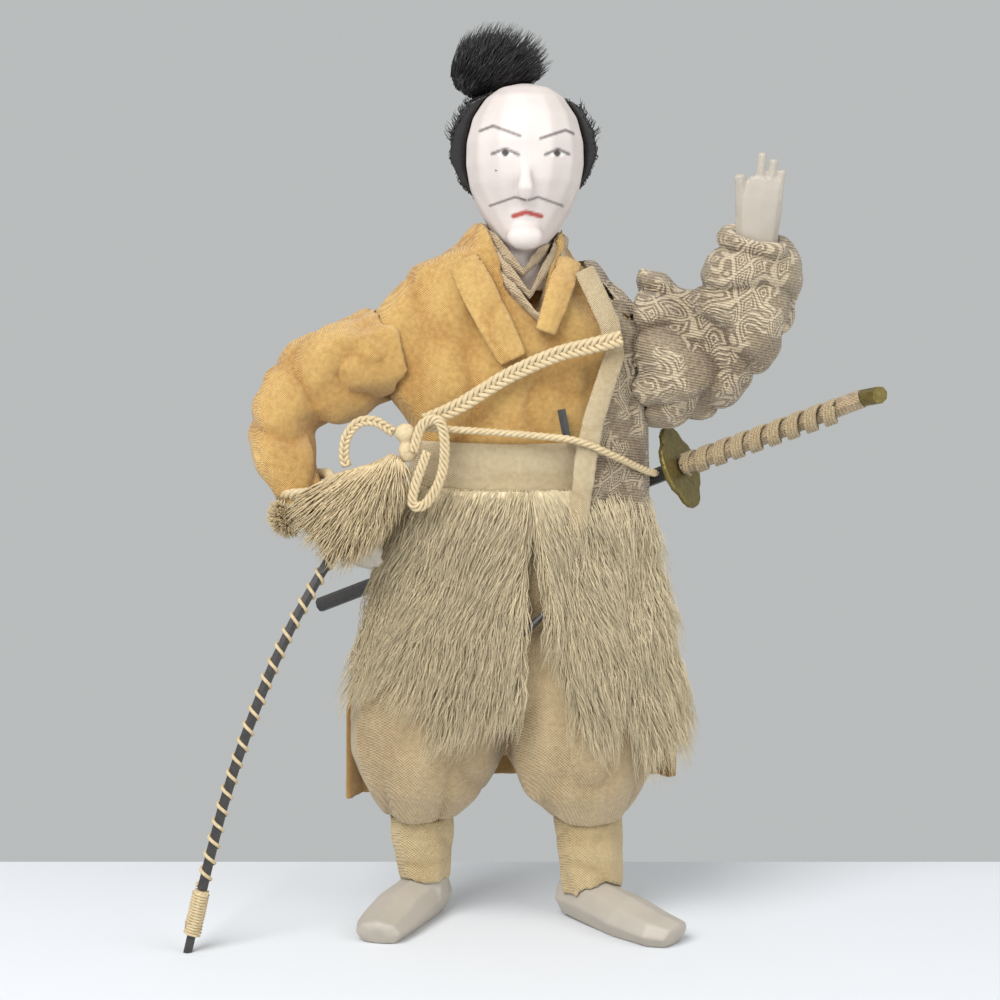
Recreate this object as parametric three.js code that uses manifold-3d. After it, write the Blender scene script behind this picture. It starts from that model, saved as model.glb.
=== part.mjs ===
// A dressed samurai doll, about 23 cm tall: a lacquered head, hands and feet on a padded body,
// with a silk kimono, a brocade jacket worn on one shoulder, trousers with a fur skirt, a sword
// thrust through the belt and a riding whip whose tip rests on the ground.
//
// Millimetres. X runs to the viewer's right, Y to the back and Z up. The doll faces -Y, so its
// own right hand, with the whip, is at -X. The origin is on the ground, in the middle of the
// doll's outline seen from above.
import * as THREE from "three";
import { mergeVertices } from "three/addons/utils/BufferGeometryUtils.js";
import Module from "manifold-3d";

const wasm = await Module();
wasm.setup();

// The shift that brings the middle of the outline, seen from above, to the origin.
const OUTLINE_MIDDLE = new THREE.Vector3(8.008, 11.642, 0);
// The gap left between a piece and what lies against it.
const FIT_GAP = 0.3;

// Heights of the main levels.
const CROWN = 221;
const CHIN = 178.5;
const V_NECK = 160;
const WAIST_TOP = 129.5;
const WAIST_BOTTOM = 117;
const KNEE_HEM = 29;
const FUR_HEM = 60;
const JACKET_HEM = 103;

// The head.
const HEAD_X = 6.4;
const HEAD_HALF_WIDTH = 15.6;
const HEAD_HALF_DEPTH = 17;
const NECK_RADIUS = 6.3;

// The sword's straight line, from the middle of the guard.
const GUARD = new THREE.Vector3(47.4, 2, 121.5);
const POMMEL = new THREE.Vector3(95.1, -27, 142.8);
const SCABBARD_END = new THREE.Vector3(-51.8, 53.6, 76);
const GUARD_HALF_LENGTH = 11.4;
const GUARD_THICKNESS = 1.4;
const SCABBARD_RADIUS = 2.1;
const HANDLE_RADIUS = 2.4;

// The whip's bent line and its lashed end.
const WHIP_LINE = [
  [-35.6, -13, 111.6],
  [-42.2, -15, 102.3],
  [-54.4, -20, 81],
  [-62.7, -24, 61.6],
  [-69.6, -27, 41.5],
  [-73.9, -29, 25.4],
  [-77.3, -29.8, 11.5],
  [-80.4, -30.4, -1.6],
];
const WHIP_RADIUS = 1.45;
const LASHING_RADIUS = 2.1;
const LASHING_FROM = 0.81;
const LASHING_TO = 0.93;

const FRONT = new THREE.Vector3(0, -1, 0);
const UP = new THREE.Vector3(0, 0, 1);

const colours = {
  lacquer: [0xd9cfc9, 0.62, 0],
  hair: [0x0b0a0a, 0.7, 0],
  goldSilk: [0xb98d3e, 0.55, 0],
  creamSilk: [0xc6b48c, 0.6, 0],
  underCollar: [0xb8a583, 0.7, 0],
  brocade: [0x8f7e5f, 0.7, 0],
  trouserCloth: [0xb39d76, 0.85, 0],
  lining: [0xb98f4a, 0.6, 0],
  gaiterCloth: [0xc2ac7b, 0.85, 0],
  fur: [0xc0b08f, 0.9, 0],
  cord: [0xc9b58e, 0.75, 0],
  brass: [0x7a6e36, 0.45, 0.85],
  blackLacquer: [0x26262a, 0.5, 0],
};

function materialOf(slot) {
  const [color, roughness, metalness] = colours[slot];
  return new THREE.MeshStandardMaterial({ color, roughness, metalness });
}

// A closed geometry as a solid that can be joined and cut.
function solidOf(geometry) {
  const bare = geometry.clone();
  bare.deleteAttribute("normal");
  bare.deleteAttribute("uv");
  const merged = mergeVertices(bare, 1e-4);
  return new wasm.Manifold(
    new wasm.Mesh({
      numProp: 3,
      vertProperties: merged.attributes.position.array,
      triVerts: new Uint32Array(merged.index.array),
    }),
  );
}

function geometryOf(solid) {
  const { vertProperties, triVerts } = solid.getMesh();
  const geometry = new THREE.BufferGeometry();
  geometry.setAttribute("position", new THREE.BufferAttribute(vertProperties, 3));
  geometry.setIndex(new THREE.BufferAttribute(triVerts, 1));
  geometry.computeVertexNormals();
  return geometry;
}

// Moves every vertex of a geometry to where place() says.
function reshaped(geometry, place) {
  const positions = geometry.attributes.position;
  const vertex = new THREE.Vector3();
  for (let i = 0; i < positions.count; i += 1) {
    const moved = place(vertex.fromBufferAttribute(positions, i));
    positions.setXYZ(i, moved.x, moved.y, moved.z);
  }
  return geometry;
}

// A limb is a padded tube round a bent middle line. Each station is [x, y, z, half width, half
// depth]. The half depth is measured towards `facing`, and relief(t, angle) adds millimetres to
// the radius, with t from 0 to 1 along the limb and the angle from its front.
function limb(stations, { around = 12, along = 8, facing = FRONT, relief } = {}) {
  const line = new THREE.CatmullRomCurve3(
    stations.map(([x, y, z]) => new THREE.Vector3(x, y, z)),
  );
  const sizes = new THREE.CatmullRomCurve3(
    stations.map(([, , , wide, deep]) => new THREE.Vector3(wide, deep, 0)),
  );
  return (grow) => {
    const tube = new THREE.CylinderGeometry(1, 1, 1, around, along);
    const shaped = reshaped(tube, (v) => {
      const t = 0.5 - v.y;
      const tangent = line.getTangent(t);
      const front = facing.clone().addScaledVector(tangent, -facing.dot(tangent));
      front.normalize();
      const side = new THREE.Vector3().crossVectors(front, tangent);
      const size = sizes.getPoint(t);
      const extra = grow + (relief ? relief(t, Math.atan2(v.x, v.z)) : 0);
      const end = t < 1e-6 ? -grow : t > 1 - 1e-6 ? grow : 0;
      return line
        .getPoint(t)
        .addScaledVector(side, v.x * Math.max(size.x + extra, 0.1))
        .addScaledVector(front, v.z * Math.max(size.y + extra, 0.1))
        .addScaledVector(tangent, end);
    });
    return solidOf(shaped);
  };
}

// A ring of cord or cloth along a closed line through the points.
function ring(points, wide, thick, { around = 4, along = 11 } = {}) {
  const line = new THREE.CatmullRomCurve3(
    points.map((p) => new THREE.Vector3(...p)),
    true,
  );
  const middle = line
    .getPoints(along)
    .reduce((sum, p) => sum.addScaledVector(p, 1 / (along + 1)), new THREE.Vector3());
  return (grow) => {
    const torus = new THREE.TorusGeometry(10, 1, around, along);
    return solidOf(
      reshaped(torus, (v) => {
        const turn = (Math.atan2(v.y, v.x) / (2 * Math.PI) + 1) % 1;
        const at = line.getPoint(turn);
        const tangent = line.getTangent(turn);
        const out = at.clone().sub(middle);
        out.addScaledVector(tangent, -out.dot(tangent)).normalize();
        const across = new THREE.Vector3().crossVectors(out, tangent);
        return at
          .addScaledVector(out, (Math.hypot(v.x, v.y) - 10) * (thick + grow))
          .addScaledVector(across, v.z * (wide + grow));
      }),
    );
  };
}

// A cloth panel that lies on an oval body. body(z) gives the oval, left(z) and right(z) the
// edges as angles from the front, and lift(z, share) how far the cloth stands off.
function panel({ top, bottom, body, left, right, lift, thick, across = 10, down = 8 }) {
  return (grow) => {
    const box = new THREE.BoxGeometry(1, 1, 1, across, 1, down);
    return solidOf(
      reshaped(box, (v) => {
        const share = v.x + 0.5;
        const edge = (Math.sign(v.x) * grow * (Math.abs(v.x) > 0.49 ? 1 : 0)) / 20;
        const hem = Math.abs(v.z) > 0.49 ? Math.sign(v.z) * grow : 0;
        const lowest = bottom(share);
        const z = THREE.MathUtils.lerp(lowest, top(share), v.z + 0.5) + hem;
        const angle = THREE.MathUtils.lerp(left(z), right(z), share) + edge;
        const { x, y, wide, deep } = body(z);
        const out = lift(z, share) + (v.y < 0 ? thick + grow : -grow);
        return new THREE.Vector3(
          x + (wide + out) * Math.sin(angle),
          y - (deep + out) * Math.cos(angle),
          z,
        );
      }),
    );
  };
}

function sphere(centre, [x, y, z], around = 12, down = 8) {
  return (grow) => {
    const ball = new THREE.SphereGeometry(1, around, down);
    ball.rotateX(Math.PI / 2);
    ball.scale(x + grow, y + grow, z + grow);
    ball.translate(...centre);
    return solidOf(ball);
  };
}

function block([x, y, z], [wide, deep, high]) {
  return solidOf(new THREE.BoxGeometry(wide, deep, high).translate(x, y, z));
}

function joined(...makers) {
  return (grow) => makers.map((make) => make(grow)).reduce((a, b) => a.add(b));
}

// The solid of make, cut off flat at the ground.
function standing(make) {
  const below = block([0, 0, -50], [400, 400, 100]);
  return (grow) => (grow ? make(grow) : make(0).subtract(below));
}

// Reads a value between rows of [height, value, ...], which run downwards.
function between(rows, z) {
  const last = rows.length - 1;
  const high = Math.max(0, Math.min(last - 1, rows.findLastIndex((row) => row[0] >= z)));
  const share = (rows[high][0] - z) / (rows[high][0] - rows[high + 1][0]);
  const t = THREE.MathUtils.clamp(share, 0, 1);
  return rows[high].slice(1).map((v, i) => THREE.MathUtils.lerp(v, rows[high + 1][i + 1], t));
}

const degrees = THREE.MathUtils.degToRad;

// The padded trunk and hips under the clothes: height, middle x and y, half width, half depth.
const TRUNK = [
  [185, 5, 1, 11.5, 10],
  [180, 4.5, 0, 14, 11.5],
  [174, 3.5, -0.5, 20, 12.5],
  [168, 2.5, -1, 30, 13],
  [160, 2, -1.5, 37, 13.5],
  [150, 3, -2, 35, 15],
  [140, 5, -2, 30.5, 15],
  [132, 6, -2, 28, 14.2],
  [118, 6, -2, 27.6, 13.6],
];
const HIPS = [
  [117.6, 6, -2, 27.6, 13.4],
  [108, 5.5, -2, 28.5, 14],
  [97, 4.5, -2, 31, 15],
  [86, 3.5, -2, 34.5, 16],
  [72, 3, -1.5, 38, 16.5],
  [62, 2.5, -1, 38.5, 15],
];

function ovalOf(rows) {
  return (z) => {
    const [x, y, wide, deep] = between(rows, z);
    return { x, y, wide, deep };
  };
}

const trunkAt = ovalOf(TRUNK);
const hipsAt = ovalOf(HIPS);
const bodyAt = (z) => (z > WAIST_BOTTOM ? trunkAt(z) : hipsAt(z));

function standingLimb(rows, options) {
  return limb(
    rows.map(([z, x, y, wide, deep]) => [x, y, z, wide, deep]),
    options,
  );
}

function head() {
  const skull = standingLimb(
    [
      [CROWN, 6.4, -1, 1.5, 1.5],
      [219.8, 6.4, -1, 6.8, 7.4],
      [216.5, 6.4, -1.2, 11, 12.4],
      [210, 6.4, -1.6, 14.6, 16.2],
      [203, HEAD_X, -2, HEAD_HALF_WIDTH, HEAD_HALF_DEPTH],
      [197, 6.4, -2.4, 15.2, 16.4],
      [191, 6.4, -3.4, 13.2, 14.6],
      [185.5, 6.4, -5.4, 9.8, 11.6],
      [181, 6.4, -8, 6.2, 8],
      [CHIN, 6.4, -9.5, 2.4, 3.6],
    ],
    { around: 14, along: 10 },
  );
  const nose = limb(
    [
      [6.4, -16.6, 203, 1.1, 1],
      [6.4, -18.6, 198, 1.5, 1.5],
      [6.4, -19.4, 193.6, 2.5, 1.9],
      [6.4, -17, 191.6, 2, 1.4],
    ],
    { around: 8, along: 5 },
  );
  const lips = sphere([6.6, -17, 187.4], [3.6, 1.6, 1.9], 10, 6);
  const chin = sphere([6.4, -14.4, 182], [5, 3.2, 3.4], 10, 6);
  const neck = limb(
    [
      [6.4, -2.5, 188, NECK_RADIUS, NECK_RADIUS],
      [6.4, -2.5, 168, NECK_RADIUS, NECK_RADIUS],
    ],
    { around: 10, along: 1 },
  );
  return joined(skull, nose, lips, chin, neck);
}

// The dressed hair stands off the sides and the back of the head, below the shaved crown.
function sideHair() {
  const outer = standingLimb(
    [
      [218.5, 6.4, 1.4, 8, 8],
      [215.5, 6.2, 1.2, 15, 16.6],
      [209, 6, 0.6, 18.6, 19.4],
      [202, 6, 0.2, 19.4, 19.6],
      [196, 6.2, 0, 17.4, 18],
      [190.5, 6.4, 0, 13, 15],
    ],
    { around: 12, along: 5 },
  );
  const face = block([0, -25, 0], [60, 50, 60]).rotate([20, 0, 0]);
  const hairline = face.translate([HEAD_X, -1, 206]);
  const shavedCrown = block([HEAD_X, -4, 225], [15, 26, 30]);
  return (grow) => outer(grow).subtract(hairline).subtract(shavedCrown);
}

function topknot() {
  return joined(
    sphere([-2.6, 4, 223.4], [10.2, 6.4, 6.6], 10, 6),
    limb(
      [
        [0.5, 8.5, 213, 3, 3],
        [-1.5, 6, 221, 4, 4],
      ],
      { around: 8, along: 2 },
    ),
  );
}

function foot(heel, ball, toe) {
  const middle = heel.clone().lerp(ball, 0.55);
  const tip = toe.clone().lerp(ball, -0.12);
  return standing(
    limb(
      [
        [heel.x, heel.y, 4.5, 4, 4.6],
        [heel.x * 0.9 + middle.x * 0.1, heel.y * 0.9 + middle.y * 0.1, 5, 6.4, 6],
        [middle.x, middle.y, 4.8, 7.4, 6.6],
        [ball.x, ball.y, 3.2, 8.2, 5],
        [toe.x, toe.y, 2.6, 6.6, 4],
        [tip.x, tip.y, 2.2, 3, 2.4],
      ],
      { around: 8, along: 6, facing: UP },
    ),
  );
}

function ankle(x, y) {
  return limb(
    [
      [x, y, 14, 6.6, 6.2],
      [x, y, 8, 7, 7],
      [x, y - 1, 4, 6.4, 6.6],
    ],
    { around: 8, along: 1 },
  );
}

const rightFoot = joined(
  foot(new THREE.Vector2(-17.6, 10), new THREE.Vector2(-29, -13), new THREE.Vector2(-31.6, -23)),
  ankle(-20.4, 3.6),
);
const leftFoot = joined(
  foot(new THREE.Vector2(18.6, 5.6), new THREE.Vector2(38.6, -19.6), new THREE.Vector2(45.2, -24)),
  ankle(24.6, -0.6),
);

function gaiter([x, y, high, wide], [lowX, lowY, low, narrow]) {
  const calf = (wide + narrow) / 2 + 0.4;
  return limb(
    [
      [x, y, high, wide, wide * 0.94],
      [(x + lowX) / 2, (y + lowY) / 2, (high + low) / 2, calf, calf * 0.94],
      [lowX, lowY, low, narrow, narrow],
    ],
    { around: 10, along: 2 },
  );
}

// A hand is a flat palm with a thumb and fingers. Each digit is [[x, y, z], [x, y, z], radius].
function hand(palm, digits) {
  const fingers = digits.map(([from, to, radius]) =>
    limb(
      [
        [...from, radius, radius],
        [...to, radius * 0.7, radius * 0.7],
      ],
      { around: 5, along: 1 },
    ),
  );
  return joined(limb(palm, { around: 8, along: 4 }), ...fingers);
}

const raisedHand = hand(
  [
    [65.2, -12, 176, 5.4, 3.6],
    [65.2, -13.6, 183, 5.6, 3.2],
    [65.4, -15.4, 190, 6.2, 2.7],
    [66.6, -16.8, 195, 5, 2.3],
    [66.8, -17.4, 197, 4, 1.8],
  ],
  [
    [[61.6, -14.6, 188], [60.2, -17.8, 197.6], 2.1],
    [[65.2, -16, 191], [65.8, -18.8, 203], 1.7],
    [[67.6, -16.4, 191], [68.8, -18.6, 201.4], 1.7],
    [[69.6, -16.2, 191], [71, -17.8, 198.8], 1.6],
  ],
);

const whipHand = hand(
  [
    [-47, -12, 112.6, 3.6, 3.2],
    [-43.6, -13.2, 108.6, 4.4, 3.4],
    [-39, -14.4, 104.4, 5.2, 3.6],
    [-34.4, -14.6, 101, 4.4, 3],
    [-31.6, -14.4, 99, 3, 2.2],
  ],
  [
    [[-38, -16.4, 106.6], [-32.4, -18.2, 102.4], 1.7],
    [[-41.4, -15, 105], [-36, -15.4, 98.4], 2],
    [[-34, -15.6, 101.6], [-30.8, -15.6, 98.2], 1.9],
  ],
);

const whipCurve = new THREE.CatmullRomCurve3(WHIP_LINE.map((p) => new THREE.Vector3(...p)));

// A stretch of the whip, with t from 0 at the hand to 1 at the tip.
function whipStretch(from, to, radius, along) {
  const stations = [];
  for (let i = 0; i <= along; i += 1) {
    const p = whipCurve.getPoint(from + ((to - from) * i) / along);
    stations.push([p.x, p.y, p.z, radius, radius]);
  }
  return limb(stations, { around: 6, along });
}

const swordLine = POMMEL.clone().sub(SCABBARD_END).normalize();

function swordStretch(from, to, radius, deep = radius) {
  const stations = [from, to].map((p) => [p.x, p.y, p.z, radius, deep]);
  return limb(stations, { around: 8, along: 1 });
}

// The guard's outline has four lobes, a little longer one way than the other.
function guard() {
  const outline = new THREE.Shape();
  const steps = 24;
  for (let i = 0; i < steps; i += 1) {
    const turn = (2 * Math.PI * i) / steps;
    const lobe = 0.86 + 0.14 * Math.abs(Math.cos(2 * turn)) ** 0.6;
    const x = GUARD_HALF_LENGTH * 0.86 * lobe * Math.cos(turn);
    const y = GUARD_HALF_LENGTH * lobe * Math.sin(turn);
    if (i === 0) outline.moveTo(x, y);
    else outline.lineTo(x, y);
  }
  return (grow) => {
    const plate = new THREE.ExtrudeGeometry(outline, {
      depth: GUARD_THICKNESS + 2 * grow,
      bevelEnabled: false,
    });
    plate.translate(0, 0, -GUARD_THICKNESS / 2 - grow);
    const across = new THREE.Vector3().crossVectors(UP, swordLine).normalize();
    const upright = new THREE.Vector3().crossVectors(swordLine, across);
    plate.applyMatrix4(new THREE.Matrix4().makeBasis(across, upright, swordLine));
    plate.translate(GUARD.x, GUARD.y, GUARD.z);
    return solidOf(plate);
  };
}

const alongSword = (distance) => GUARD.clone().addScaledVector(swordLine, distance);
const HANDLE_LENGTH = POMMEL.distanceTo(GUARD);

// The three under-collars, from the neck outwards: each one's V point, its two neck sides and
// the height at the nape.
const UNDER_COLLARS = [
  { v: [5.8, -12.4, 172.6], right: [-3.6, -3, 184.2], left: [13.4, -3, 181.8], nape: 184 },
  { v: [7.6, -14, 167], right: [-5.8, -2.6, 183.6], left: [15.4, -2.6, 181.6], nape: 183.4 },
  { v: [10, -15.2, 161.2], right: [-8, -2, 182.4], left: [17.4, -2, 180.4], nape: 182.4 },
];

function underCollar({ v, right, left, nape }) {
  const mid = (a, b, out) => [
    (a[0] + b[0]) / 2,
    (a[1] + b[1]) / 2 - out,
    (a[2] + b[2]) / 2,
  ];
  const back = (right[0] + left[0]) / 2;
  return ring(
    [v, mid(v, right, 3), right, [right[0] * 0.7 + 1.4, 5, nape], [back, 9, nape],
      [left[0] * 0.7 + 1.4, 5, nape], left, mid(v, left, 3)],
    1.9,
    0.9,
  );
}

function kimonoBody() {
  const trunk = standingLimb(TRUNK, { around: 12, along: 6 });
  const outline = new THREE.Shape();
  outline.moveTo(9.6, V_NECK + 1);
  outline.lineTo(19, 200);
  outline.lineTo(-12, 200);
  const opening = new THREE.ExtrudeGeometry(outline, { depth: 34, bevelEnabled: false });
  opening.rotateX(Math.PI / 2);
  opening.translate(0, -1, 0);
  const vNeck = solidOf(opening);
  return (grow) => trunk(grow).subtract(vNeck);
}

// The kimono's own wide collar band, laid over the chest on both sides of the V.
function kimonoCollar(from, to, wide) {
  return limb(
    [
      [...from, wide, 1.5],
      [(from[0] + to[0]) / 2, Math.min(from[1], to[1]) + 1.2, (from[2] + to[2]) / 2, wide, 1.5],
      [...to, wide * 0.8, 1.4],
    ],
    { around: 6, along: 3 },
  );
}

const creases = (count, depth, turn) => (t, angle) =>
  depth * Math.cos(count * angle + turn * t) * Math.sin(Math.PI * t);

function kimonoSleeve() {
  const upper = limb(
    [
      [-25, -1, 152.5, 12, 11],
      [-36, -1, 150, 13, 12.6],
      [-47, -2, 144.6, 12.8, 12.2],
      [-54.4, -3, 139.4, 10.6, 11],
      [-60, -4, 135.6, 6.4, 7.4],
    ],
    { around: 12, along: 6, relief: creases(3, 0.9, 5) },
  );
  const fore = limb(
    [
      [-56, -3, 144, 4, 5],
      [-57, -4, 138.4, 8.6, 9],
      [-56.2, -6, 129, 9.6, 9.2],
      [-53.2, -9, 119.6, 8.4, 8],
      [-49.4, -11, 112.6, 6.4, 6],
      [-46.6, -12, 109, 5.4, 5],
    ],
    { around: 12, along: 6, relief: creases(4, 0.6, 4) },
  );
  return joined(upper, fore);
}

function jacketSleeve() {
  const upper = limb(
    [
      [33, -1, 154, 20.4, 11.4],
      [42, -1, 152.6, 19.4, 12.2],
      [51, -2, 149.6, 15.6, 12.4],
      [58.4, -3, 149.4, 11.4, 11.4],
      [64, -3, 150, 6, 7],
    ],
    { around: 12, along: 6, relief: creases(5, 0.8, 3) },
  );
  const fore = limb(
    [
      [51, -2, 140, 6, 7],
      [55, -3, 147.6, 11.2, 10.6],
      [60, -5, 157.4, 13.8, 12],
      [62.6, -8, 167.6, 13, 11.6],
      [64.4, -11, 176.4, 11, 10],
      [65.2, -13, 182.6, 9, 8.4],
    ],
    { around: 12, along: 6, relief: creases(3, 0.9, 6) },
  );
  return joined(upper, fore);
}

function trousers() {
  const hips = standingLimb(HIPS, { around: 12, along: 4 });
  const leg = (x, hemX, inset) =>
    standingLimb(
      [
        [78, x, -2, 15, 14],
        [66, x, -2, 20.6, 17.4],
        [54, x - inset, -2, 21, 17.6],
        [45, x - inset, -2, 20.4, 16.6],
        [38, (x + hemX) / 2 - inset / 2, -1.4, 17.6, 14.6],
        [33, hemX, -0.6, 13.6, 11.6],
        [KNEE_HEM, hemX, 0, 10.4, 9.8],
      ],
      { around: 12, along: 6 },
    );
  return joined(hips, leg(-18, -21.2, 1.6), leg(20.6, 23.4, -1.4));
}

const waistband = standingLimb(
  [
    [WAIST_TOP, 6, -2, 29.6, 15.6],
    [(WAIST_TOP + WAIST_BOTTOM) / 2, 6, -2, 30, 15.8],
    [WAIST_BOTTOM, 6, -2, 29.8, 15.6],
  ],
  { around: 12, along: 1 },
);

// The trousers' back half is a panel of its own, open down both sides.
const trouserBack = panel({
  top: () => 113,
  bottom: (share) => 38 - 6 * share,
  body: (z) => {
    const { x, y, wide, deep } = hipsAt(Math.max(z, 63));
    return { x: x + 0.4, y, wide: wide + 0.6, deep };
  },
  left: () => degrees(94),
  right: () => degrees(262),
  lift: (z, share) => 1.4 + 0.03 * (113 - z) + 0.8 * Math.cos(share * 12 * Math.PI),
  thick: 1.5,
  across: 10,
  down: 3,
});

// The two halves of the fur skirt hang from the waistband over the trousers, and part in front.
const furThickness = (z) => 0.6 + (WAIST_BOTTOM - z) * 0.03;
const furRight = panel({
  top: () => WAIST_BOTTOM + 0.5,
  bottom: (share) => FUR_HEM + 5 - 9 * Math.sin(Math.PI * Math.min(1, share * 1.1)),
  body: bodyAt,
  left: (z) => degrees(-96 + (WAIST_BOTTOM - z) * 0.5),
  right: () => degrees(3),
  lift: (z) => 0.5 + furThickness(z) * 0.4,
  thick: 3,
  across: 7,
  down: 4,
});
const furLeft = panel({
  top: () => WAIST_BOTTOM + 0.5,
  bottom: (share) => 51 + 12 * Math.abs(share - 0.35),
  body: bodyAt,
  left: (z) => degrees(4 + (WAIST_BOTTOM - z) * 0.36),
  right: () => degrees(104),
  lift: (z) => 0.5 + furThickness(z),
  thick: 3,
  across: 7,
  down: 4,
});

// The jacket's body hangs from the left shoulder, and runs across the back under the right arm.
const JACKET_FRONT_EDGE = [
  [176, 60],
  [165, 44],
  [155, 46],
  [140, 36],
  [125, 32],
  [JACKET_HEM, 27],
];
const jacketBody = panel({
  top: (share) => 176 - 40 * Math.max(0, share - 0.62),
  bottom: () => JACKET_HEM,
  body: (z) => {
    const { x, y, wide, deep } = bodyAt(z);
    const spread = z < WAIST_TOP + 2 ? 2.4 : 0;
    return { x: x + 0.6, y, wide: wide + spread, deep: deep + spread };
  },
  left: (z) => degrees(between(JACKET_FRONT_EDGE, z)[0]),
  right: () => degrees(232),
  lift: (z, share) => 0.5 + 0.5 * (1 + Math.cos(share * 9 * Math.PI)) * (z < 140 ? 1 : 0.4),
  thick: 1.5,
  across: 11,
  down: 4,
});

const LAPEL_LINE = [
  [21.4, -12.6, 173.8],
  [25.6, -15.4, 165],
  [29.4, -16.2, 155],
  [26.4, -18.6, 144],
  [22.8, -19.2, 132],
  [21.2, -19.4, 120],
  [19.4, -20, 106],
];
const lapel = limb(
  LAPEL_LINE.map(([x, y, z]) => [x, y, z, 3.1, 1]),
  { around: 6, along: 8 },
);

function cord(points, radius, flat = 1) {
  return limb(
    points.map((p) => [...p, radius, radius * flat]),
    { around: 6, along: points.length + 1 },
  );
}

const KNOT = new THREE.Vector3(-24, -20, 132.6);
const chestBraid = cord(
  [[30.6, -19.6, 156.6], [24, -20.4, 155], [14, -19.8, 152.4], [2, -19.4, 147],
    [-10, -18.8, 139.6], [-19, -19, 135.4]],
  2.3,
  0.45,
);
const waistCord = cord(
  [[-20.4, -19.6, 133.8], [-8, -20, 133.2], [8, -20.4, 132], [20, -21.6, 130.6],
    [29, -18.4, 126.6], [37.4, -9.6, 122], [40.8, -3, 120.4]],
  0.95,
);
const knot = joined(
  sphere([KNOT.x, KNOT.y, KNOT.z], [3, 2.2, 2.6], 8, 5),
  sphere([KNOT.x + 0.6, KNOT.y, KNOT.z - 4.6], [2.7, 2.1, 3], 8, 5),
);
const rightLoop = cord(
  [[-27, -20, 132.8], [-31.6, -21, 135.6], [-36, -21, 135.2], [-39, -20.6, 131.4],
    [-39.6, -20.2, 126.6], [-39, -20, 124.2]],
  1.4,
  0.6,
);
const leftLoop = ring(
  [[-19.6, -22, 134.8], [-15.6, -23, 136], [-14, -23, 131], [-14.8, -22.6, 122],
    [-18.6, -22.2, 115], [-22, -22, 114.4], [-21.6, -22, 119], [-18.4, -22, 128]],
  1.5,
  0.8,
  { around: 4, along: 14 },
);
const tassel = limb(
  [
    [-25.6, -20.2, 126, 2.4, 1.8],
    [-29, -20.4, 121.6, 5, 2.6],
    [-34.4, -20.6, 116.8, 8.4, 3.2],
    [-40, -20.8, 112.6, 9.8, 3.4],
    [-44.6, -20.8, 109.4, 8.6, 2.6],
  ],
  { around: 10, along: 4 },
);
const wristCord = ring(
  [[-57.6, -9, 115.6], [-53.4, -16, 116.4], [-47, -18.4, 117.4], [-43.6, -13, 119.4],
    [-45.6, -6, 120.6], [-52.6, -2.6, 118.6]],
  1.5,
  1.3,
  { around: 5, along: 12 },
);
const wristTuft = sphere([-54.6, -13.6, 110.6], [3.9, 3.4, 4], 8, 6);

// Two dark sticks tucked in the belt: one shows by the lapel, the other between the furs.
const beltStick = limb(
  [
    [15.6, -17.6, 138.4, 1.2, 0.6],
    [17.2, -18.2, 130.4, 1.2, 0.6],
  ],
  { around: 6, along: 1 },
);
const skirtStick = limb(
  [
    [11.8, -19.6, 86.4, 0.9, 0.9],
    [5.2, -21.4, 80.4, 0.9, 0.9],
  ],
  { around: 8, along: 1 },
);

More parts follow.
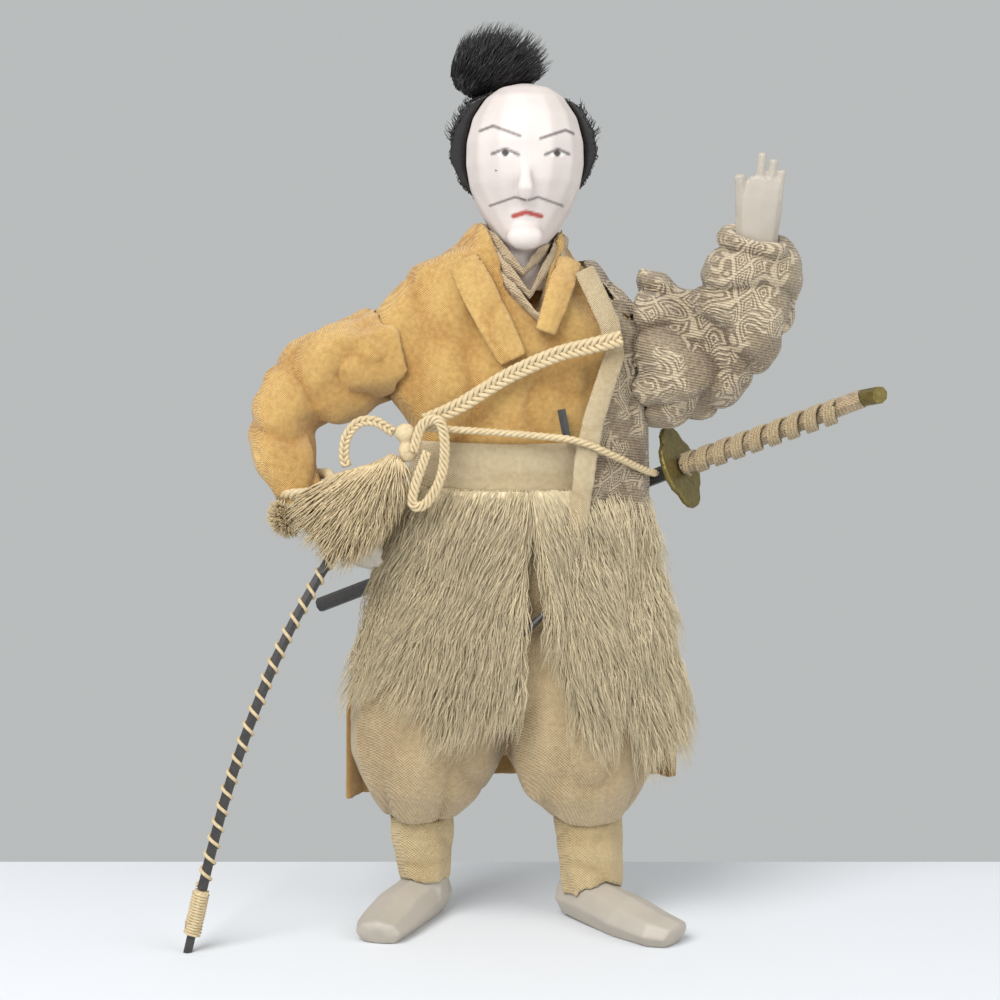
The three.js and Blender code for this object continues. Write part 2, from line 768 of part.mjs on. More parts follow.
// Every piece, from the inside out. A later piece is cut back from the earlier ones.
const PIECES = [
  ["scabbard", "blackLacquer", swordStretch(alongSword(-2.4), SCABBARD_END, SCABBARD_RADIUS)],
  ["sword_guard", "brass", guard()],
  ["sword_handle", "creamSilk",
    swordStretch(alongSword(1.2), alongSword(HANDLE_LENGTH - 5.6), HANDLE_RADIUS, 2.9)],
  ["pommel_cap", "brass", swordStretch(alongSword(HANDLE_LENGTH - 5.2), POMMEL, 2.2, 2.7)],
  ["whip_rod", "blackLacquer", whipStretch(0, LASHING_FROM - 0.004, WHIP_RADIUS, 12)],
  ["whip_lashing", "cord", whipStretch(LASHING_FROM, LASHING_TO, LASHING_RADIUS, 3)],
  ["whip_tip", "blackLacquer", standing(whipStretch(LASHING_TO + 0.003, 1, 1.25, 2))],
  ["right_foot", "lacquer", rightFoot],
  ["left_foot", "lacquer", leftFoot],
  ["head", "lacquer", head()],
  ["side_hair", "hair", sideHair()],
  ["topknot", "hair", topknot()],
  ["raised_hand", "lacquer", raisedHand],
  ["whip_hand", "lacquer", whipHand],
  ["under_collar_1", "underCollar", underCollar(UNDER_COLLARS[0])],
  ["under_collar_2", "underCollar", underCollar(UNDER_COLLARS[1])],
  ["under_collar_3", "underCollar", underCollar(UNDER_COLLARS[2])],
  ["kimono_body", "goldSilk", kimonoBody()],
  ["trousers", "trouserCloth", trousers()],
  ["right_gaiter", "gaiterCloth", gaiter([-21.2, 0.6, 31.6, 9], [-20.4, 3.2, 10.6, 7.2])],
  ["left_gaiter", "gaiterCloth", gaiter([23.2, 0.4, 31.6, 9.6], [24.8, -0.4, 7.6, 8.2])],
  ["waistband", "creamSilk", waistband],
  ["trouser_back_panel", "lining", trouserBack],
  ["kimono_sleeve", "goldSilk", kimonoSleeve()],
  ["kimono_collar_right", "goldSilk",
    kimonoCollar([-9.4, -10.6, 176], [3.4, -17.6, 151], 5.2)],
  ["kimono_collar_left", "goldSilk",
    kimonoCollar([17.8, -8, 176], [11.6, -16.6, 158], 3.8)],
  ["fur_panel_right", "fur", furRight],
  ["fur_panel_left", "fur", furLeft],
  ["jacket_body", "brocade", jacketBody],
  ["jacket_sleeve", "brocade", jacketSleeve()],
  ["jacket_lapel", "creamSilk", lapel],
  ["belt_stick", "blackLacquer", beltStick],
  ["skirt_stick", "blackLacquer", skirtStick],
  ["knot", "cord", knot],
  ["waist_cord", "cord", waistCord],
  ["chest_braid", "cord", chestBraid],
  ["bow_loop_left", "cord", leftLoop],
  ["bow_loop_right", "cord", rightLoop],
  ["wrist_cord", "cord", wristCord],
  ["wrist_tuft", "cord", wristTuft],
  ["tassel", "cord", tassel],
];

function boxesMeet(a, b) {
  const [p, q] = [a.boundingBox(), b.boundingBox()];
  return [0, 1, 2].every((i) => p.min[i] < q.max[i] && q.min[i] < p.max[i]);
}

function largestBody(solid) {
  return solid.decompose().reduce((a, b) => (a.volume() > b.volume() ? a : b));
}

const doll = new THREE.Group();
const earlier = [];
for (const [name, slot, make] of PIECES) {
  let solid = make(0);
  for (const cutter of earlier) {
    if (boxesMeet(solid, cutter)) solid = solid.subtract(cutter);
  }
  earlier.push(make(FIT_GAP));
  const mesh = new THREE.Mesh(geometryOf(largestBody(solid)), materialOf(slot));
  mesh.name = name;
  mesh.position.copy(OUTLINE_MIDDLE).negate();
  doll.add(mesh);
}

export default doll;
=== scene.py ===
"""A costumed samurai doll: the cloth, fur, hair, cords and painted face over its CAD solids."""
import math
import random

import bpy
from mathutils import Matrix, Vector, noise


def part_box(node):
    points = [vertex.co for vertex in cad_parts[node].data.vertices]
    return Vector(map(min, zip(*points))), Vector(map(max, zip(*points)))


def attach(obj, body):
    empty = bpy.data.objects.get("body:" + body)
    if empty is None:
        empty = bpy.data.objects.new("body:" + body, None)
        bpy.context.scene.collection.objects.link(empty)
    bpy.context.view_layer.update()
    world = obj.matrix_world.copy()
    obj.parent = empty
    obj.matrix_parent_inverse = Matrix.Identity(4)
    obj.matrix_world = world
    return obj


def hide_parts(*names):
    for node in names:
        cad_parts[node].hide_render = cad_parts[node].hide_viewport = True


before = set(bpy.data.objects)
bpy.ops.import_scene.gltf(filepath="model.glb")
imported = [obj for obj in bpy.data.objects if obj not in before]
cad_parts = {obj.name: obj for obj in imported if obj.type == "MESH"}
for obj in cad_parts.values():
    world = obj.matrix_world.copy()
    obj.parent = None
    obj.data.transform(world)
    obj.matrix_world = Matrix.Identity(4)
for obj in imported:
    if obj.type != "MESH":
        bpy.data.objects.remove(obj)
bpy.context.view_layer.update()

bl_info = {
    "name": "Samurai Doll",
    "version": (1, 0, 0),
    "blender": (4, 5, 0),
    "location": "View3D > Sidebar > Doll",
    "description": "Dresses the doll's solids in silk, brocade, fur, hair and cord",
    "category": "Object",
}

MM = 0.001

# The routes below are in the maker's millimetres, where the middle of the doll's outline is here.
OUTLINE_MIDDLE = Vector((8.008, 11.642, 0))

CHEST_BRAID = [(30.6, -19.9, 156.6), (24, -20.7, 155), (14, -20.1, 152.4), (2, -19.7, 147),
               (-10, -19.1, 139.6), (-19, -19.3, 135.4)]
WAIST_CORD = [(-20.4, -19.6, 133.8), (-8, -20, 133.2), (8, -20.4, 132), (20, -21.6, 130.6),
              (29, -18.4, 126.6), (37.4, -9.6, 122), (40.8, -3, 120.4)]
BOW_RIGHT = [(-27, -20, 132.8), (-31.6, -21, 135.6), (-36, -21, 135.2), (-39, -20.6, 131.4),
             (-39.6, -20.2, 126.6), (-39, -20, 124.2)]
BOW_LEFT = [(-22, -22, 128), (-19.6, -22, 134.8), (-15.6, -23, 136), (-14, -23, 131),
            (-14.8, -22.6, 122), (-18.6, -22.2, 115), (-22, -22, 114.4), (-21.6, -22, 119),
            (-18.4, -22, 128)]
WRIST = [(-57.6, -9, 115.6), (-53.4, -16, 116.4), (-47, -18.4, 117.4), (-43.6, -13, 119.4),
         (-45.6, -6, 120.6), (-52.6, -2.6, 118.6), (-57.6, -9, 115.6)]
WHIP = [(-35.6, -13, 111.6), (-42.2, -15, 102.3), (-54.4, -20, 81), (-62.7, -24, 61.6),
        (-69.6, -27, 41.5), (-73.9, -29, 25.4), (-77.3, -29.8, 11.5), (-80.4, -30.4, -1.6)]
GUARD = Vector((47.4, 2, 121.5))
POMMEL = Vector((95.1, -27, 142.8))

# Each cord: its piece, route and node, the half width and half depth that its strands weave over in
# millimetres, the number of strands, their pitch and radius in millimetres, and steps on the route.
CORDS = [
    ("chest_braid_woven", CHEST_BRAID, "chest_braid", 1.5, 0.5, 5, 9, 0.62, 110),
    ("waist_cord_twisted", WAIST_CORD, "waist_cord", 0.5, 0.5, 3, 5, 0.52, 130),
    ("bow_right_woven", BOW_RIGHT, "bow_loop_right", 0.9, 0.4, 4, 6, 0.5, 60),
    ("bow_left_woven", BOW_LEFT, "bow_loop_left", 0.9, 0.45, 4, 6, 0.5, 110),
    ("wrist_tie", WRIST, "wrist_cord", 0.8, 0.8, 3, 6, 0.75, 110),
]

# Each cloth: its slot, voxel in millimetres, smoothing passes, crease depth in millimetres, and how
# close its creases lie across, in depth and upwards, per metre.
CLOTHS = {
    "kimono_body": ("goldSilk", 0.8, 16, 1.5, (70, 40, 42)),
    "kimono_sleeve": ("goldSilk", 0.7, 16, 2.4, (85, 45, 60)),
    "kimono_collar_right": ("goldSilk", 0.5, 4, 0.2, (60, 60, 60)),
    "kimono_collar_left": ("goldSilk", 0.5, 4, 0.2, (60, 60, 60)),
    "under_collar_1": ("underCollar", 0.4, 3, 0.15, (90, 90, 90)),
    "under_collar_2": ("underCollar", 0.4, 3, 0.15, (90, 90, 90)),
    "under_collar_3": ("underCollar", 0.4, 3, 0.15, (90, 90, 90)),
    "waistband": ("creamSilk", 0.7, 3, 0.35, (20, 20, 160)),
    "trousers": ("trouserCloth", 0.85, 18, 1.2, (80, 50, 22)),
    "right_gaiter": ("gaiterCloth", 0.6, 5, 0.6, (60, 60, 110)),
    "left_gaiter": ("gaiterCloth", 0.6, 5, 0.6, (60, 60, 110)),
    "trouser_back_panel": ("lining", 0.7, 4, 0.8, (110, 60, 12)),
    "jacket_body": ("brocade", 0.65, 4, 0.7, (80, 50, 35)),
    "jacket_sleeve": ("brocade", 0.75, 14, 2.5, (60, 45, 95)),
    "jacket_lapel": ("creamSilk", 0.45, 4, 0.25, (80, 80, 60)),
}
CREASE_SEED_STEP = 3.7

# Each bare lacquered piece: its voxel in millimetres.
HANDS_AND_FEET = {"raised_hand": 0.3, "whip_hand": 0.3, "right_foot": 0.45, "left_foot": 0.45}

# The painted face, in the frame's millimetres across and up. A stroke is a list of points.
BROWS = [[(-13.1, 208.6), (-9.8, 209.8), (-2.9, 207.2)], [(2.2, 206.6), (8.6, 208.8), (10.6, 208)]]
MOUSTACHE = [[(-10.6, 189.8), (-4.2, 192), (-1.6, 191.2)], [(-0.8, 191.2), (1.6, 192), (8, 189.8)]]
LASHES = [[(-10, 202.8), (-6.7, 204), (-3.4, 202.6)], [(3.4, 202.6), (6.6, 204), (9.4, 202.8)]]
INK_HALF_WIDTHS = ((BROWS, 0.36), (MOUSTACHE, 0.28), (LASHES, 0.4))
STROKE_DARKNESS = 0.8
MOUTH = [(-4.6, 187.2), (-1.4, 188.2), (2.4, 187.2)]
MOUTH_HALF_WIDTH = 0.6
EYES = [(-6.7, 203), (6.4, 203)]
PUPIL_RADIUS = 0.9
EYE_HALF_HEIGHT = 0.95
EYE_LENGTH_TO_HEIGHT = 2.1
PAINT_BLUR = 0.35

# Paint goes only above the chin, and where the head's normals point forward at least this far.
CHIN_LOW = 180
FACE_NORMAL_Y = -0.2

# The middle of the skull. Hair grows on the faces that turn away from it.
SKULL_MIDDLE = Vector((-1.6, -13.6, 202)) * MM

# A hair's middle bends on each axis between these two, in units of BEND_SHARE of its length.
BEND_LOW = (-1, -1, -0.6)
BEND_HIGH = (1, 0.3, 0.4)
BEND_SHARE = 0.14

# A hair's radii at its root, middle and tip, as shares of its full radius. Its root is under the skin.
HAIR_TAPER = (1, 0.75, 0.15)
HAIR_ROOT_DEPTH = 0.3 * MM

# How many sides the tubes have.
HAIR_SIDES = 3
THREAD_SIDES = 5
STRAND_SIDES = 6

# The threads wound on the whip and the handle. The stretches are steps along the whip's line. The
# handle's line has GRIP_STEPS points, GRIP_STEP millimetres apart, from GRIP_START past the guard.
# WRAP_PHASE is the turn in radians from one thread of the handle to the next.
WHIP_STEPS = 900
WHIP_THREAD_STRETCH = slice(20, 720)
LASHING_STRETCH = slice(735, 838)
GRIP_START = 2
GRIP_STEP = 0.1
GRIP_STEPS = 460
WRAP_THREADS = 4
WRAP_PHASE = 0.95

# The nodes that are shown as they are, with their finishes.
PLAIN_NODES = {
    "scabbard": "blackLacquer",
    "sword_handle": "underCollar",
    "pommel_cap": "brass",
    "whip_rod": "blackLacquer",
    "whip_lashing": "cord",
    "whip_tip": "blackLacquer",
    "belt_stick": "blackLacquer",
    "skirt_stick": "blackLacquer",
}

# The stage, in metres. The eye and what it looks at are in the maker's millimetres.
FLOOR_FAR_EDGE = 42.3 * MM
FLOOR_NEAR_EDGE = -2.0
FLOOR_WIDTH = 4.0
FLOOR_COLOUR = (0.72, 0.74, 0.77, 1)
BACKDROP_COLOUR = (0.49, 0.505, 0.505, 1)
LAMP_TARGET = Vector((0, 0, 0.11))
EYE = (0, -615.4, 188.6)
LOOKED_AT = (0, 0, 113)
LENS = 84.8
SENSOR_WIDTH = 36

# The sockets of a Mix node that hold colours.
MIX_SHARE, MIX_LOW, MIX_HIGH, MIX_RESULT = 0, 6, 7, 2

# Every finish by its name, filled by main().
FINISHES = {}


def placed(point):
    """A point in the maker's millimetres, as metres in the frame."""
    return (Vector(point) - OUTLINE_MIDDLE) * MM


class DollSizes(bpy.types.PropertyGroup):
    """The sizes that a user would change"""

    weave_pitch: bpy.props.FloatProperty(
        name="Weave pitch", description="Distance between threads", default=0.5 * MM, unit="LENGTH")
    fur_length: bpy.props.FloatProperty(
        name="Fur length", description="Length of the fur's hairs", default=12 * MM, unit="LENGTH")
    fur_count: bpy.props.IntProperty(
        name="Fur hairs", description="Number of hairs on each panel", default=7500)


class DollColours(bpy.types.PropertyGroup):
    """The colours that a user would change"""

    silk: bpy.props.FloatVectorProperty(
        name="Silk", description="Gold silk's lit colour", default=(0.8, 0.54, 0.18), subtype="COLOR")
    fur: bpy.props.FloatVectorProperty(
        name="Fur", description="Fur's lit colour", default=(0.9, 0.76, 0.5), subtype="COLOR")
    lacquer: bpy.props.FloatVectorProperty(
        name="Lacquer", description="The head's lacquer", default=(0.74, 0.66, 0.62), subtype="COLOR")


class Field:
    """A shader socket that takes part in Python arithmetic."""

    def __init__(self, tree, socket):
        self.tree = tree
        self.socket = socket

    def math(self, operation, other=0.0):
        """A Math node on this field and another field or number."""
        node = self.tree.nodes.new("ShaderNodeMath")
        node.operation = operation
        for value, end in zip((self, other), node.inputs):
            if isinstance(value, Field):
                self.tree.links.new(value.socket, end)
            else:
                end.default_value = value
        return Field(self.tree, node.outputs[0])

    def limited(self):
        """The field, kept from 0 to 1."""
        return self.math("MINIMUM", 1.0).math("MAXIMUM", 0.0)

    def __add__(self, other):
        return self.math("ADD", other)

    __radd__ = __add__

    def __mul__(self, other):
        return self.math("MULTIPLY", other)

    __rmul__ = __mul__

    def __sub__(self, other):
        return self.math("SUBTRACT", other)

    def __rsub__(self, other):
        return (self * -1.0) + other


class Finish:
    """A material on a Principled shader, built up node by node."""

    def __init__(self, name, roughness, metallic=0.0, sheen=0.0):
        self.material = bpy.data.materials.new(name)
        self.material.use_nodes = True
        self.tree = self.material.node_tree
        self.shader = self.tree.nodes["Principled BSDF"]
        self.shader.inputs["Roughness"].default_value = roughness
        self.shader.inputs["Metallic"].default_value = metallic
        self.shader.inputs["Sheen Weight"].default_value = sheen
        self.place = self.node("TexCoord", {}, {}, "Object")
        split = self.tree.nodes.new("ShaderNodeSeparateXYZ")
        self.tree.links.new(self.place.socket, split.inputs[0])
        self.x, self.y, self.z = (Field(self.tree, end) for end in split.outputs)

    def node(self, kind, settings, values, output=0):
        """A new node with its settings, then the values or links of its sockets."""
        node = self.tree.nodes.new("ShaderNode" + kind)
        for key, value in settings.items():
            setattr(node, key, value)
        for key, value in values.items():
            if isinstance(value, Field):
                self.tree.links.new(value.socket, node.inputs[key])
            else:
                node.inputs[key].default_value = value
        return Field(self.tree, node.outputs[output])

    def noise(self, size, detail):
        """Soft noise from 0 to 1, with features of about the given size in metres."""
        return self.node("TexNoise", {}, {"Vector": self.place, "Scale": 1 / size, "Detail": detail})

    def mix(self, share, low, high):
        """The low colour where the share is 0, blending to the high one where it is 1."""
        values = {MIX_SHARE: share, MIX_LOW: low, MIX_HIGH: high}
        return self.node("Mix", {"data_type": "RGBA"}, values, MIX_RESULT)

    def attribute(self, name):
        """A number that the mesh keeps at each of its points."""
        return self.node("Attribute", {"attribute_name": name}, {}, "Fac")

    def colour(self, field):
        self.tree.links.new(field.socket, self.shader.inputs["Base Color"])

    def bump(self, height, depth):
        values = {"Height": height, "Distance": depth, "Strength": 1.0}
        normal = self.node("Bump", {}, values)
        self.tree.links.new(normal.socket, self.shader.inputs["Normal"])


def rgba(colour):
    return (*colour, 1.0)


def darker(colour, share):
    return [part * share for part in colour]


def sharpened(field, middle, width):
    """The field as a soft step from 0 to 1 about the middle."""
    return ((field - middle) * (1 / width) + 0.5).limited()


def waves(field, pitch):
    """Sine waves along the field, a pitch in metres apart."""
    return (field * (2 * math.pi / pitch)).math("SINE")


def cloth_finish(name, lit, deep, pitch):
    """Plain weave with painted light on its swells and painted shade in its creases, and worn patches and
    uneven threads.
    """
    finish = Finish(name, roughness=0.72, sheen=0.3)
    warp = waves(finish.x + finish.y * 0.7, pitch)
    weft = waves(finish.z + finish.y * 0.2, pitch)
    weave = warp * weft
    worn = finish.noise(16 * MM, 4.0)
    slub = finish.noise(1.2 * MM, 2.0)
    # The crease height paints shade into the creases and light onto the swells; the worn patches, weave
    # and slubs are the cloth's own uneven tone.
    share = finish.attribute("fold_shading") * 0.5 + worn * 0.45 + weave * 0.32 + (slub - 0.5) * 0.8
    finish.colour(finish.mix(share.limited(), rgba(deep), rgba(lit)))
    finish.bump(weave * 0.5 + slub, 0.25 * MM)
    return finish.material


def brocade_finish(name):
    """Ribbed cloth with patches of wandering angular frets, in brown and cream, with painted shade in its
    creases and painted light on its swells.
    """
    finish = Finish(name, roughness=0.7, sheen=0.3)
    cell = 1 / (6.5 * MM)
    slant = 0.35 * cell
    wander = finish.noise(7 * MM, 0.0) * 1.6
    across = ((finish.x + finish.y * 0.8) * cell + finish.z * slant + wander).math("FRACT") - 0.5
    up = (finish.z * cell - finish.x * slant - wander).math("FRACT") - 0.5
    square = across.math("ABSOLUTE").math("MAXIMUM", up.math("ABSOLUTE"))
    fret = sharpened((square * 6.0).math("FRACT"), 0.5, 0.12)
    frets = fret * sharpened(finish.noise(9 * MM, 2.0), 0.47, 0.05)
    ribs = waves(finish.z + finish.x * 0.2, 0.7 * MM)
    thread = finish.noise(0.8 * MM, 2.0)
    # The crease height paints shade into the creases and light onto the swells; the frets, ribs and
    # threads are the brocade's own pattern.
    share = frets * 0.5 + finish.attribute("fold_shading") * 0.4 + ribs * 0.1 + (thread - 0.5) * 0.7
    finish.colour(finish.mix(share.limited(), rgba((0.13, 0.085, 0.045)), rgba((0.66, 0.54, 0.36))))
    finish.bump(ribs * 0.5 + thread + frets, 0.25 * MM)
    return finish.material


def lacquer_finish(name, colour):
    """Shell-white lacquer with stains and small chips, and the painted face where it has one."""
    finish = Finish(name, roughness=0.5)
    base = finish.mix(finish.noise(9 * MM, 4.0), rgba(darker(colour, 0.72)), rgba(colour))
    chips = sharpened(finish.noise(2.6 * MM, 3.0), 0.76, 0.02)
    base = finish.mix(chips, base, rgba((0.2, 0.13, 0.09)))
    base = finish.mix(finish.attribute("white"), base, rgba((0.82, 0.8, 0.76)))
    base = finish.mix(finish.attribute("red"), base, rgba((0.36, 0.06, 0.045)))
    base = finish.mix(finish.attribute("ink"), base, rgba((0.05, 0.035, 0.03)))
    finish.colour(base)
    finish.bump(finish.noise(0.8 * MM, 2.0), 0.04 * MM)
    return finish.material


def plain_finish(name, low, high, roughness, metallic=0.0, grain=1.5 * MM):
    """One colour that varies a little, with a fine grain."""
    finish = Finish(name, roughness, metallic)
    finish.colour(finish.mix(finish.noise(grain, 4.0), rgba(low), rgba(high)))
    finish.bump(finish.noise(grain * 0.6, 3.0), 0.08 * MM)
    return finish.material


def finishes(sizes, colours):
    """Every finish by its name."""
    pitch = sizes.weave_pitch
    fur = tuple(colours.fur)
    return {
        # Each cloth's first colour is painted light, for where it swells, and its second is painted shade,
        # for its creases.
        "goldSilk": cloth_finish("gold_silk", tuple(colours.silk), (0.42, 0.18, 0.02), pitch),
        "creamSilk": cloth_finish("cream_silk", (0.66, 0.54, 0.34), (0.4, 0.28, 0.13), pitch),
        "underCollar": cloth_finish("under_collar", (0.58, 0.46, 0.29), (0.28, 0.19, 0.1), 0.8 * MM),
        "brocade": brocade_finish("brocade"),
        "trouserCloth": cloth_finish("trouser_cloth", (0.6, 0.46, 0.26), (0.3, 0.2, 0.09), 0.75 * MM),
        "lining": cloth_finish("lining", (0.55, 0.32, 0.08), (0.27, 0.13, 0.03), pitch),
        "gaiterCloth": cloth_finish("gaiter_cloth", (0.64, 0.5, 0.27), (0.38, 0.26, 0.11), 0.7 * MM),
        "fur": plain_finish("fur", darker(fur, 0.5), fur, 0.75, grain=2.5 * MM),
        "hair": plain_finish("hair", (0.006, 0.005, 0.005), (0.022, 0.019, 0.018), 0.38),
        "cord": plain_finish("cord", (0.42, 0.31, 0.15), (0.74, 0.61, 0.4), 0.75, grain=1 * MM),
        "brass": plain_finish("brass", (0.1, 0.075, 0.02), (0.3, 0.24, 0.08), 0.45, metallic=0.75),
        "blackLacquer": plain_finish("black_lacquer", (0.014, 0.014, 0.016), (0.06, 0.055, 0.05), 0.45),
        "lacquer": lacquer_finish("lacquer", tuple(colours.lacquer)),
        "bareLacquer": lacquer_finish("bare_lacquer", (0.5, 0.45, 0.38)),
    }


def finished(obj, nodes, finish):
    """Gives the piece its finish and puts it in the place of the nodes."""
    obj.data.materials.clear()
    obj.data.materials.append(FINISHES[finish])
    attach(obj, "root")
    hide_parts(*nodes)


def direction_at(line, i):
    """Which way a line of points runs at its point i."""
    return (line[min(i + 1, len(line) - 1)] - line[max(i - 1, 0)]).normalized()


def tube(verts, faces, points, radii, sides):
    """Adds a closed tube along the points to the lists of vertices and faces."""
    first = len(verts)
    last = len(points) - 1
    # A hair that lies nearly along Y takes its sides from the X axis. A cord never does, so that its
    # sides don't twist where it turns.
    is_hair = len(points) == len(HAIR_TAPER)
    along_y = is_hair and abs((points[-1] - points[0]).normalized().y) >= 0.8
    fixed = Vector((1, 0, 0)) if along_y else Vector((0, 1, 0))
    for i, (point, radius) in enumerate(zip(points, radii)):
        along = direction_at(points, i)
        side = along.cross(fixed).normalized()
        other = along.cross(side)
        for k in range(sides):
            turn = 2 * math.pi * k / sides
            verts.append(point + radius * (math.cos(turn) * side + math.sin(turn) * other))
    for i in range(last):
        low, high = first + i * sides, first + (i + 1) * sides
        for k in range(sides):
            after = (k + 1) % sides
            faces.append((low + k, low + after, high + after, high + k))
    faces.append(tuple(first + k for k in reversed(range(sides))))
    faces.append(tuple(first + last * sides + k for k in range(sides)))


def piece_of(name, verts, faces):
    """A new object of these vertices and faces."""
    mesh = bpy.data.meshes.new(name)
    mesh.from_pydata([tuple(v) for v in verts], [], faces)
    mesh.polygons.foreach_set("use_smooth", [True] * len(mesh.polygons))
    obj = bpy.data.objects.new(name, mesh)
    bpy.context.scene.collection.objects.link(obj)
    return obj


def smooth_line(points, steps):
    """Points along a Catmull-Rom line, in the frame."""
    line = [placed(p) for p in points]
    line = [2 * line[0] - line[1], *line, 2 * line[-1] - line[-2]]
    spans = len(line) - 3
    just_under = spans - 1e-6
    found = []
    for i in range(steps + 1):
        at = min(i * spans / steps, just_under)
        a, b, c, d = line[int(at):int(at) + 4]
        t = at - int(at)
        found.append(0.5 * (2 * b + (c - a) * t + (2 * a - 5 * b + 4 * c - d) * t * t
                            + (3 * b - a - 3 * c + d) * t ** 3))
    return found


def remeshed(node, voxel, smoothing):
    """A fine, smoothed copy of a node's solid, with a voxel in millimetres."""
    obj = bpy.data.objects.new(node + "_dressed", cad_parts[node].data.copy())
    bpy.context.scene.collection.objects.link(obj)
    bpy.ops.object.select_all(action="DESELECT")
    bpy.context.view_layer.objects.active = obj
    obj.select_set(True)
    bpy.ops.object.mode_set(mode="EDIT")
    bpy.ops.mesh.select_all(action="SELECT")
    bpy.ops.mesh.remove_doubles(threshold=1e-6)
    bpy.ops.object.mode_set(mode="OBJECT")
    grid = obj.modifiers.new("grid", "REMESH")
    grid.mode = "VOXEL"
    grid.voxel_size = voxel * MM
    soft = obj.modifiers.new("soft", "SMOOTH")
    soft.iterations = smoothing
    soft.factor = 0.5
    for modifier in (grid.name, soft.name):
        bpy.ops.object.modifier_apply(modifier=modifier)
    bpy.ops.object.shade_smooth()
    return obj


def fold_height(spot):
    """How high cloth stands at a spot: narrow creases, wide swells and small ripples."""
    crease = 1 - min(1, 1.5 * abs(noise.noise(spot)))
    swell = noise.noise(spot * 0.45 + Vector((7, 3, 5)))
    ripple = noise.noise(spot * 2.7)
    return 0.8 - 0.9 * crease ** 3 + 0.7 * swell + 0.2 * ripple


def folded(obj, depth, closeness, seed):
    """Pushes creases into a cloth piece, and keeps how high each point stands, from which the cloth
    finishes paint shade in the creases and light on the swells.
    """
    mesh = obj.data
    normals = [v.normal.copy() for v in mesh.vertices]
    middle_height = 0.4
    shares = []
    for vertex, normal in zip(mesh.vertices, normals):
        spot = Vector(a * b for a, b in zip(vertex.co, closeness)) + Vector((seed, 2 * seed, 0))
        height = fold_height(spot)
        vertex.co += normal * depth * (height - middle_height)
        shares.append(max(0, min(1, height * 0.7 + 0.3)))
    mesh.attributes.new("fold_shading", "FLOAT", "POINT").data.foreach_set("value", shares)


class DOLL_OT_clothes(bpy.types.Operator):
    """Makes the creased silk, brocade and trousers over their solids"""

    bl_idname = "doll.clothes"
    bl_label = "Clothes"

    def execute(self, context):
        for i, (node, (slot, voxel, smoothing, depth, closeness)) in enumerate(CLOTHS.items()):
            obj = remeshed(node, voxel, smoothing)
            folded(obj, depth * MM, closeness, i * CREASE_SEED_STEP)
            finished(obj, [node], slot)
        return {"FINISHED"}


def off_stroke(x, z, stroke):
    """How far a point of the face is from a painted stroke, in millimetres."""
    distances = []
    for (ax, az), (bx, bz) in zip(stroke, stroke[1:]):
        span = (bx - ax) ** 2 + (bz - az) ** 2
        t = max(0, min(1, ((x - ax) * (bx - ax) + (z - az) * (bz - az)) / span))
        distances.append(math.hypot(x - ax - t * (bx - ax), z - az - t * (bz - az)))
    return min(distances)


def soft_edge(distance, half_width):
    """1 inside the half width and 0 outside it, over a short blur."""
    return max(0.0, min(1.0, (half_width - distance) / PAINT_BLUR + 0.5))


def paint_at(x, z):
    """The ink, red and white at a point of the face, each from 0 to 1."""
    strokes = max(
        soft_edge(off_stroke(x, z, stroke), width) for group, width in INK_HALF_WIDTHS for stroke in group)
    pupil = max(soft_edge(math.hypot(x - ex, z - ez), PUPIL_RADIUS) for ex, ez in EYES)
    eye = max(
        soft_edge(math.hypot((x - ex) / EYE_LENGTH_TO_HEIGHT, z - ez), EYE_HALF_HEIGHT)
        for ex, ez in EYES)
    mouth = soft_edge(off_stroke(x, z, MOUTH), MOUTH_HALF_WIDTH)
    return max(STROKE_DARKNESS * strokes, pupil), mouth, eye


def paint_face(obj):
    """Paints brows, eyes, moustache and mouth on the front of the head."""
    paints = []
    for vertex in obj.data.vertices:
        x, z = vertex.co.x / MM, vertex.co.z / MM
        on_face = vertex.normal.y <= FACE_NORMAL_Y and z >= CHIN_LOW
        paints.append(paint_at(x, z) if on_face else (0.0, 0.0, 0.0))
    for name, values in zip(("ink", "red", "white"), zip(*paints)):
        obj.data.attributes.new(name, "FLOAT", "POINT").data.foreach_set("value", values)


class DOLL_OT_lacquer(bpy.types.Operator):
    """Makes the lacquered head, hands and feet"""

    bl_idname = "doll.lacquer"
    bl_label = "Head, hands and feet"

    def execute(self, context):
        head = remeshed("head", voxel=0.45, smoothing=22)
        paint_face(head)
        finished(head, ["head"], "lacquer")
        for node, voxel in HANDS_AND_FEET.items():
            finished(remeshed(node, voxel, smoothing=9), [node], "bareLacquer")
        return {"FINISHED"}


def everywhere(centre, normal):
    """True on every face."""
    return True


def hairs(name, node, slot, count, seed, aim, length, radius, wanted=everywhere):
    """Tapered hairs rooted on the wanted faces of a node. aim(root, normal) gives a hair's way."""
    rng = random.Random(seed)
    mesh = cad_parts[node].data
    roots_in = [p for p in mesh.polygons if wanted(p.center, p.normal)]
    areas = [p.area for p in roots_in]
    radii = [radius * share for share in HAIR_TAPER]
    verts, faces = [], []
    for face in rng.choices(roots_in, areas, k=count):
        a, b, c = (mesh.vertices[i].co for i in face.vertices[:3])
        low, high = sorted((rng.random(), rng.random()))
        root = a * low + b * (high - low) + c * (1 - high)
        way = aim(root, face.normal).normalized()
        reach = length * rng.uniform(0.6, 1.25)
        bend = Vector([rng.uniform(*ends) for ends in zip(BEND_LOW, BEND_HIGH)]) * reach * BEND_SHARE
        points = [root - way * HAIR_ROOT_DEPTH, root + way * reach * 0.5 + bend, root + way * reach]
        tube(verts, faces, points, radii, HAIR_SIDES)
    finished(piece_of(name, verts, faces), [node], slot)


def combed_back(root, normal):
    """Along the head towards the back, and a little off it."""
    back = Vector((0, 0.9, 0.3))
    return back - normal * back.dot(normal) + normal * 0.06 + Vector((0, 0, 0.01))


def off_the_skull(centre, normal):
    """True on the outer faces of the hair."""
    return (centre - SKULL_MIDDLE).dot(normal) > 0


